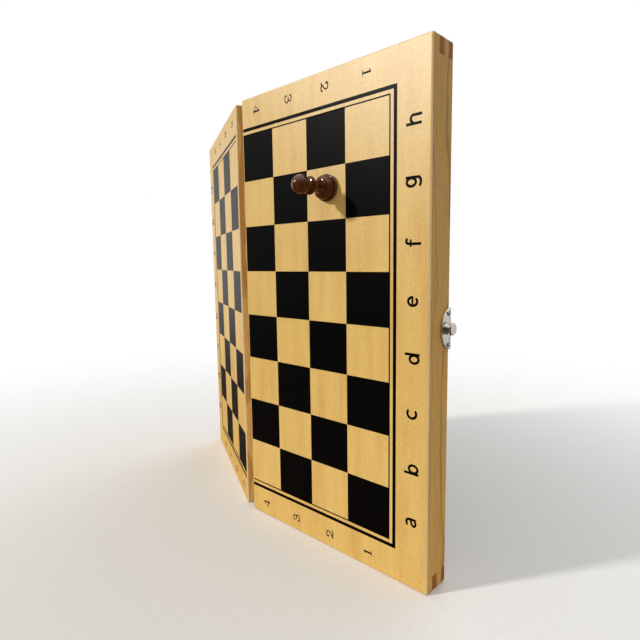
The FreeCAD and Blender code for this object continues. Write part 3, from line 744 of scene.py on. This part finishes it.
def lathe(mesh, points):
    """Closed solid of revolution about z; the outline starts and ends on the axis."""
    rings = []
    for point in points:
        if point.x < 1e-6:
            rings.append([mesh.verts.new((0, 0, point.y * MM))])
            continue
        ring = []
        for i in range(SIDES):
            angle = math.tau * i / SIDES
            ring.append(mesh.verts.new((point.x * math.cos(angle) * MM, point.x * math.sin(angle) * MM,
                                        point.y * MM)))
        rings.append(ring)
    for low, high in zip(rings, rings[1:]):
        for i in range(SIDES):
            j = (i + 1) % SIDES
            if len(low) == 1 and len(high) == 1:
                break
            if len(low) == 1:
                mesh.faces.new([low[0], high[j], high[i]])
            elif len(high) == 1:
                mesh.faces.new([low[i], low[j], high[0]])
            else:
                mesh.faces.new([low[i], low[j], high[j], high[i]])


def ball(seat, radius, top):
    """Outline steps of a ball from its seat's edge to its top on the axis."""
    centre = top - radius
    start = math.asin(min(1.0, seat / radius)) - math.pi
    steps = 14
    made = []
    for i in range(steps + 1):
        angle = start * (1 - i / steps)
        made.append((abs(radius * math.sin(angle)), centre + radius * math.cos(angle)))
    return made


def foot(base, neck):
    """The foot that every man shares: base ring, quirk, dome and bead."""
    dome = 0.91 * base
    return [
        (base - 0.35, 0.0), (base, 0.35, base - 0.08, 0.08),
        (base, 1.3), (base - 0.5, 1.8, base - 0.12, 1.68),
        (dome - 0.45, 1.85), (dome - 0.3, 2.1),
        (neck + 0.5, 6.15, 0.95 * dome, 4.5), (neck + 0.15, 6.3),
        (neck + 0.75, 6.7, neck + 0.62, 6.4), (neck, FOOT_TOP, neck + 0.62, 7.0),
    ]


def stem(waist, low, high, collar):
    """A stem that narrows to its waist, and the collar's rounded rim above it."""
    rise = high - low
    return [
        (waist + 0.3, high, waist, low + 0.55 * rise),
        (collar - 0.8, high + 0.3),
        (collar - 0.8, high + 1.7, collar, high + 1.0),
    ]


def pawn_outline():
    collar = PAWN_TALL - 13.5
    steps = foot(7.7, 4.1) + stem(3.3, FOOT_TOP, collar, 5.15)
    return steps + [(3.0, collar + 2.0)] + ball(2.5, 5.3, PAWN_TALL)


def rook_outline():
    top = ROOK_TALL
    collar = top - 11.6
    steps = foot(8.4, 5.6) + stem(4.5, FOOT_TOP, collar, 6.3)
    return steps + [(4.9, collar + 2.2), (6.1, collar + 4.6, 5.2, collar + 3.6), (6.3, top - 0.4),
                    (6.0, top, 6.22, top - 0.08), (4.3, top), (4.2, top - 0.15), (4.1, top - 2.6),
                    (0, top - 2.6)]


def bishop_outline():
    top = BISHOP_TALL
    collar = top - 19.4
    steps = foot(8.2, 4.6) + stem(3.4, FOOT_TOP, collar, 5.9)
    steps += [(3.2, collar + 2.2), (4.4, collar + 3.4), (3.4, collar + 4.2, 4.3, collar + 4.0),
              (5.1, collar + 8.6, 4.7, collar + 6.0), (1.1, top - 2.9, 4.1, collar + 13.0)]
    return steps + ball(1.1, FINIAL_RADIUS, top)


def queen_outline():
    top = QUEEN_TALL
    collar = top - 19.0
    rim = top - 4.4
    steps = foot(9.0, 5.2) + stem(3.7, FOOT_TOP, collar, 5.7)
    steps += [(3.9, collar + 2.1), (5.0, collar + 3.2), (3.5, collar + 4.4, 4.4, collar + 4.2),
              (6.2, rim, 4.1, rim - 5.2), (5.1, rim + 0.2), (1.3, rim + 1.4, 3.7, rim + 0.9)]
    return steps + ball(1.3, FINIAL_RADIUS, top)


def king_outline():
    top = KING_TALL
    collar = top - 22.5
    rim = top - 8.6
    steps = foot(9.2, 5.3) + stem(3.8, FOOT_TOP, collar, 5.7)
    return steps + [(4.0, collar + 2.1), (5.1, collar + 3.2), (3.7, collar + 4.4, 4.5, collar + 4.2),
                    (6.1, rim, 4.2, rim - 5.0), (5.6, rim + 0.7), (1.6, rim + 2.6, 4.4, rim + 1.9),
                    (1.3, rim + 3.2), (0, rim + 3.2)]


def knight_outline():
    """The knight's foot only; its head is carved."""
    return foot(8.4, 6.2) + [(5.6, 8.3, 5.7, 7.6), (0, 8.3)]


def turned_mesh(outline):
    mesh = bmesh.new()
    lathe(mesh, curve((0, 0), outline))
    return mesh


def cut_away(piece, cutter_mesh, name):
    """Takes a cutter's space out of a piece, for good."""
    cutter = new_object(name, cutter_mesh)
    step = piece.modifiers.new("cut", "BOOLEAN")
    step.operation = "DIFFERENCE"
    step.solver = "EXACT"
    step.object = cutter
    freeze(piece)
    bpy.data.objects.remove(cutter)


def freeze(piece):
    """Applies every modifier of a piece made here."""
    depsgraph = bpy.context.evaluated_depsgraph_get()
    data = bpy.data.meshes.new_from_object(piece.evaluated_get(depsgraph))
    piece.modifiers.clear()
    piece.data = data


def block(mesh, size, matrix):
    """Cuboid of full size (x, y, z) mm, centred, then placed by matrix (mm)."""
    made = bmesh.ops.create_cube(mesh, size=1.0)["verts"]
    scale = Matrix.Diagonal((*size, 1))
    bmesh.ops.transform(mesh, matrix=Matrix.Scale(MM, 4) @ matrix @ scale, verts=made)


def pawn_piece(name):
    return new_object(name, turned_mesh(pawn_outline()))


def rook_piece(name):
    """Three slots right across make the six battlements."""
    piece = new_object(name, turned_mesh(rook_outline()))
    slots = bmesh.new()
    slot_size = (20, 1.8, 2.6)
    slot_middle = ROOK_TALL - 1.0
    for i in range(3):
        turned = Matrix.Rotation(math.pi * i / 3, 4, "Z")
        block(slots, slot_size, turned @ Matrix.Translation((0, 0, slot_middle)))
    bmesh.ops.recalc_face_normals(slots, faces=slots.faces)
    cut_away(piece, slots, "rook_slots")
    return piece


def bishop_piece(name):
    piece = new_object(name, turned_mesh(bishop_outline()))
    slit = bmesh.new()
    slit_size = (9, 12, 0.9)
    slit_foot = Matrix.Translation((0.3, 0, BISHOP_TALL - 10.0))
    slope = Matrix.Rotation(math.radians(-52), 4, "Y")
    block(slit, slit_size, slit_foot @ slope @ Matrix.Translation((3.9, 0, slit_size[2] / 2)))
    cut_away(piece, slit, "mitre_slit")
    return piece


def queen_piece(name):
    """Round notches, a little wider inside, make the coronet."""
    piece = new_object(name, turned_mesh(queen_outline()))
    notches = bmesh.new()
    count = 8
    notch = Matrix.Translation((6.0, 0, QUEEN_TALL - 4.05)) @ Matrix.Rotation(math.pi / 2, 4, "Y")
    for i in range(count):
        place = Matrix.Rotation(math.tau * i / count, 4, "Z") @ notch
        bmesh.ops.create_cone(notches, cap_ends=True, segments=20, radius1=1.15 * MM, radius2=1.0 * MM,
                              depth=3.2 * MM, matrix=scaled(place))
    cut_away(piece, notches, "crown_notches")
    return piece


def scaled(matrix):
    """The same placing with its millimetre shift in metres."""
    made = matrix.copy()
    made.translation = matrix.translation * MM
    return made


def joined(pieces):
    """One solid from overlapping ones."""
    first = pieces[0]
    for other in pieces[1:]:
        step = first.modifiers.new("join", "BOOLEAN")
        step.operation = "UNION"
        step.solver = "EXACT"
        step.object = other
    freeze(first)
    for other in pieces[1:]:
        bpy.data.objects.remove(other)
    return first


def rounded(piece, width, segments):
    """Rounds a piece's sharp edges, for good."""
    step = piece.modifiers.new("round", "BEVEL")
    step.width = width * MM
    step.segments = segments
    step.limit_method = "ANGLE"
    step.angle_limit = math.radians(35)
    freeze(piece)


def king_piece(name):
    """Turned body with a cross whose arms widen outwards."""
    piece = new_object(name, turned_mesh(king_outline()))
    cross = bmesh.new()
    left = [(-0.75, 0), (-0.75, 1.9), (-2.3, 1.7), (-2.3, 4.1), (-0.85, 3.9), (-1.05, CROSS_TALL)]
    outline = left + [(-x, z) for x, z in reversed(left)]
    front = -CROSS_THICK / 2
    base = KING_TALL - CROSS_TALL
    corners = [cross.verts.new((x * MM, front * MM, (base + z) * MM)) for x, z in outline]
    face = cross.faces.new(corners)
    pushed = bmesh.ops.extrude_face_region(cross, geom=[face])["geom"]
    far_side = [made for made in pushed if isinstance(made, bmesh.types.BMVert)]
    bmesh.ops.translate(cross, vec=(0, CROSS_THICK * MM, 0), verts=far_side)
    bmesh.ops.recalc_face_normals(cross, faces=cross.faces)
    finial = new_object("cross", cross)
    rounded(finial, 0.25, 2)
    return joined([piece, finial])


def knight_piece(name):
    """Horse's head: a cut-out profile, rounded over, thinner at the nose and ears."""
    piece = new_object(name, turned_mesh(knight_outline()))
    chest_to_jaw = [(5.0, 7.6), (4.3, 12.0), (3.2, 17.0), (2.4, 21.5), (2.9, 25.0), (4.6, 25.4)]
    muzzle = [(6.3, 25.6), (7.6, 26.3), (8.2, 27.8), (8.1, 29.4)]
    brow_and_ears = [(6.9, 31.0), (5.2, 33.0), (3.6, 34.6), (2.6, 36.0), (1.9, 38.9), (0.3, 36.6)]
    crest = [(-1.2, 36.8), (-3.0, 35.2), (-4.6, 32.6), (-5.8, 29.4), (-6.4, 25.6)]
    back = [(-6.6, 21.5), (-6.4, 16.5), (-5.9, 12.0), (-5.2, 7.6)]
    profile = chest_to_jaw + muzzle + brow_and_ears + crest + back
    half_thick = 4.3
    nose_start, nose_thinning = 2.0, 0.9
    ears_start, ears_thinning = 33.0, 1.3
    thinning_run = 6.0
    carved = bmesh.new()
    layers = []
    for side in (-1, 1):
        ring = []
        for x, z in profile:
            half = (half_thick - nose_thinning * max(0.0, (x - nose_start) / thinning_run)
                    - ears_thinning * max(0.0, (z - ears_start) / thinning_run))
            ring.append(carved.verts.new((x * MM, side * half * MM, z * MM)))
        layers.append(ring)
    carved.faces.new(layers[0])
    carved.faces.new(list(reversed(layers[1])))
    count = len(profile)
    for i in range(count):
        j = (i + 1) % count
        carved.faces.new([layers[0][j], layers[0][i], layers[1][i], layers[1][j]])
    bmesh.ops.recalc_face_normals(carved, faces=carved.faces)
    head = new_object("head", carved)
    rounded(head, 1.1, 4)
    cuts = bmesh.new()
    eye = (3.4, 32.4, 0.75)
    nostril = (7.0, 28.4, 0.4)
    lock_size = (5.0, 0.9, 0.5)
    mouth_size = (2.6, 12, 0.45)
    for side in (-1, 1):
        for x, z, radius in (eye, nostril):
            bmesh.ops.create_icosphere(cuts, subdivisions=3, radius=radius * MM,
                                       matrix=scaled(Matrix.Translation((x, side * 4.0, z))))
        for lock in range(5):
            root = Matrix.Translation((-5.0 + 0.1 * lock * lock, side * 4.4, 15.5 + 4.2 * lock))
            block(cuts, lock_size, root @ Matrix.Rotation(math.radians(-58 + 8 * lock), 4, "Y"))
    mouth = Matrix.Translation((7.4, 0, 27.0)) @ Matrix.Rotation(math.radians(-12), 4, "Y")
    block(cuts, mouth_size, mouth)
    cut_away(head, cuts, "carving")
    return joined([piece, head])


MEN = {
    "pawn": pawn_piece,
    "rook": rook_piece,
    "knight": knight_piece,
    "bishop": bishop_piece,
    "queen": queen_piece,
    "king": king_piece,
}


def finish_surface(data, material):
    """Material and smooth shading, with the turned corners kept crisp."""
    data.materials.clear()
    data.materials.append(material)
    for polygon in data.polygons:
        polygon.use_smooth = True
    data.set_sharp_from_angle(angle=math.radians(38))


def stand_in_for(node, data, matrix):
    """A copy of a man in the place of its CAD node."""
    piece = bpy.data.objects.new(node + "_man", data)
    bpy.context.scene.collection.objects.link(piece)
    piece.matrix_world = matrix
    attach(piece, node)
    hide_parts(node)


def men_shapes(colour, material):
    """One finished mesh for each kind of man."""
    shapes = {}
    for kind, maker in MEN.items():
        source = maker("%s_%s_shape" % (colour, kind))
        shapes[kind] = source.data
        finish_surface(source.data, material)
        bpy.data.objects.remove(source)
    return shapes


def lay_men(colour, half, shapes):
    """The stored men of a colour, lying in their pockets: the light ones with their
    bases to the hinge, the dark ones with their bases to the latch."""
    for node in sorted(NODES):
        words = node.split("_")
        if words[0] != colour or words[1] not in MEN:
            continue
        low, high = local_box(node, HALVES[half])
        middle = (low + high) / 2
        if colour == "white":
            base, lean = Vector((low.x, middle.y, middle.z)), math.pi / 2
        else:
            base, lean = Vector((high.x, middle.y, middle.z)), -math.pi / 2
        laid = HALVES[half] @ Matrix.Translation(base) @ Matrix.Rotation(lean, 4, "Y")
        stand_in_for(node, shapes[words[1]], laid)


def stand_pawn(shape):
    """The dark pawn on the board, from the playing face outwards."""
    low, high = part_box("board_pawn")
    base = Vector(((low.x + high.x) / 2, high.y, (low.z + high.z) / 2))
    stood = Matrix.Translation(base) @ Matrix.Rotation(math.pi / 2, 4, "X")
    fitted = Matrix.Scale((high.y - low.y) / (PAWN_TALL * MM), 4, Vector((0, 0, 1)))
    stand_in_for("board_pawn", shape, stood @ fitted)


def set_men():
    boxwood = turned_wood("boxwood", light=(0.80, 0.56, 0.27), dark=(0.70, 0.45, 0.19),
                          deep=(0.55, 0.32, 0.12), shine=0.7)
    mahogany = turned_wood("mahogany", light=(0.21, 0.058, 0.011), dark=(0.1, 0.023, 0.004),
                           deep=(0.036, 0.008, 0.002), shine=0.75)
    lay_men("white", "white", men_shapes("white", boxwood))
    dark_shapes = men_shapes("dark", mahogany)
    lay_men("dark", "black", dark_shapes)
    stand_pawn(dark_shapes["pawn"])


# ---- stage ----
def camera():
    """The photograph's own view: its place, direction, roll and lens."""
    data = bpy.data.cameras.new("camera")
    data.sensor_width = CAMERA_SENSOR
    data.lens = CAMERA_LENS
    data.clip_start = 0.01
    viewer = bpy.data.objects.new("camera", data)
    bpy.context.scene.collection.objects.link(viewer)
    right = CAMERA_AHEAD.cross(CAMERA_UPWARDS).normalized()
    up = right.cross(CAMERA_AHEAD)
    turned = Matrix((right, up, -CAMERA_AHEAD)).transposed().to_4x4()
    viewer.matrix_world = Matrix.Translation(CAMERA_PLACE) @ turned
    bpy.context.scene.camera = viewer


def area_light(name, towards, distance, size, power, aim):
    """Round soft light that shines back on aim from a direction, metres away."""
    data = bpy.data.lights.new(name, "AREA")
    data.shape = "DISK"
    data.size = size
    data.energy = power
    lamp = bpy.data.objects.new(name, data)
    bpy.context.scene.collection.objects.link(lamp)
    lamp.location = aim + towards.normalized() * distance
    lamp.rotation_euler = towards.to_track_quat("Z", "Y").to_euler()
    return lamp


def ambient():
    """Soft light from all round: dim on the left, apart from a bright band far left
    above the floor.  In reflections it is dimmer in front and brighter overhead.  The
    camera sees plain white.  Ranges are of the direction's x, y or z."""
    world = bpy.data.worlds.new("studio")
    bpy.context.scene.world = world
    world.use_nodes = True
    tree = world.node_tree
    tree.nodes.clear()
    way = add(tree, "SeparateXYZ", {"Vector": add(tree, "TexCoord").outputs["Generated"]})
    right = eased(tree, way.outputs["X"], (-0.9, 0.5), (0.12, 0.44))
    left = eased(tree, way.outputs["X"], (-0.96, -0.8), (1.0, 0.0))
    above = eased(tree, way.outputs["Z"], (-0.24, -0.04), (0.0, 0.9))
    overhead = eased(tree, way.outputs["Z"], (0.4, 0.9), (0.0, 0.3))
    over_horizon = eased(tree, way.outputs["Z"], (-0.4, 0.0), (0.3, 1.0))
    ray = add(tree, "LightPath").outputs
    in_front = eased(tree, way.outputs["Y"], (-0.2, 0.4), (-0.85, -0.1))
    dimmer = math_node(tree, "MULTIPLY_ADD", ray["Is Glossy Ray"], in_front, 1.0)
    strength = math_node(tree, "MULTIPLY", math_node(tree, "MULTIPLY", right, over_horizon), dimmer)
    strength = math_node(tree, "MULTIPLY_ADD", left, above, strength)
    brighter = math_node(tree, "MULTIPLY_ADD", ray["Is Glossy Ray"], 4.0, 1.0)
    strength = math_node(tree, "MULTIPLY_ADD", overhead, brighter, strength)
    soft = add(tree, "Background", {"Color": (1, 0.985, 0.96, 1), "Strength": strength})
    plain = add(tree, "Background", {"Color": (1, 1, 1, 1), "Strength": 1.0})
    both = add(tree, "MixShader", {0: ray["Is Camera Ray"], 1: soft.outputs[0], 2: plain.outputs[0]})
    add(tree, "OutputWorld", {"Surface": both.outputs[0]})


def floor(centre):
    """Pale paper that fades out away from the box, and is darker in reflections."""
    mesh = bmesh.new()
    bmesh.ops.create_grid(mesh, x_segments=1, y_segments=1, size=FLOOR_HALF,
                          matrix=Matrix.Translation((centre.x, centre.y, 0)))
    piece = new_object("floor", mesh)
    material, tree, shader = new_material("floor_paper", Roughness=0.9)
    where, coordinates = place_in(tree, None)
    tooth = noise(tree, where, 0.4, 3.0)
    paper = ramp(tree, tooth, [(0.3, (0.86, 0.86, 0.86)), (0.7, (0.9, 0.9, 0.9))])
    mirrored = add(tree, "LightPath").outputs["Is Glossy Ray"]
    tree.links.new(mixed(tree, mirrored, paper, (0.17, 0.1, 0.07)), shader.inputs["Base Color"])
    off = add(tree, "VectorMath", {0: coordinates.outputs["Object"], 1: (centre.x, centre.y, 0)},
              operation="DISTANCE")
    fade = eased(tree, off.outputs["Value"], FLOOR_FADE, (1.0, 0.0))
    tree.links.new(fade, shader.inputs["Alpha"])
    piece.data.materials.append(material)


def studio():
    """Key from the upper left, a little behind the camera; a fill from behind the box;
    and a card that only adds reflections."""
    low, high = (Vector(corner) for corner in cad_box)
    centre = (low + high) / 2
    key = bpy.data.lights.new("key", "SUN")
    key.energy = KEY_STRENGTH
    key.angle = math.radians(5)
    key.color = (1.0, 0.97, 0.9)
    lamp = bpy.data.objects.new("key", key)
    bpy.context.scene.collection.objects.link(lamp)
    lamp.rotation_euler = KEY_TOWARDS.to_track_quat("Z", "Y").to_euler()
    area_light("back_fill", Vector((-0.2, 1.0, 0.7)), distance=1.8, size=1.5, power=8.0, aim=centre)
    card = area_light("card", Vector((0.5, 0.86, 0.02)), distance=2.0, size=1.1, power=1.15, aim=centre)
    card.visible_diffuse = False
    ambient()
    floor(centre)
    bpy.context.scene.view_settings.view_transform = "Standard"


camera()
dress_nodes()
print_board()
set_men()
studio()
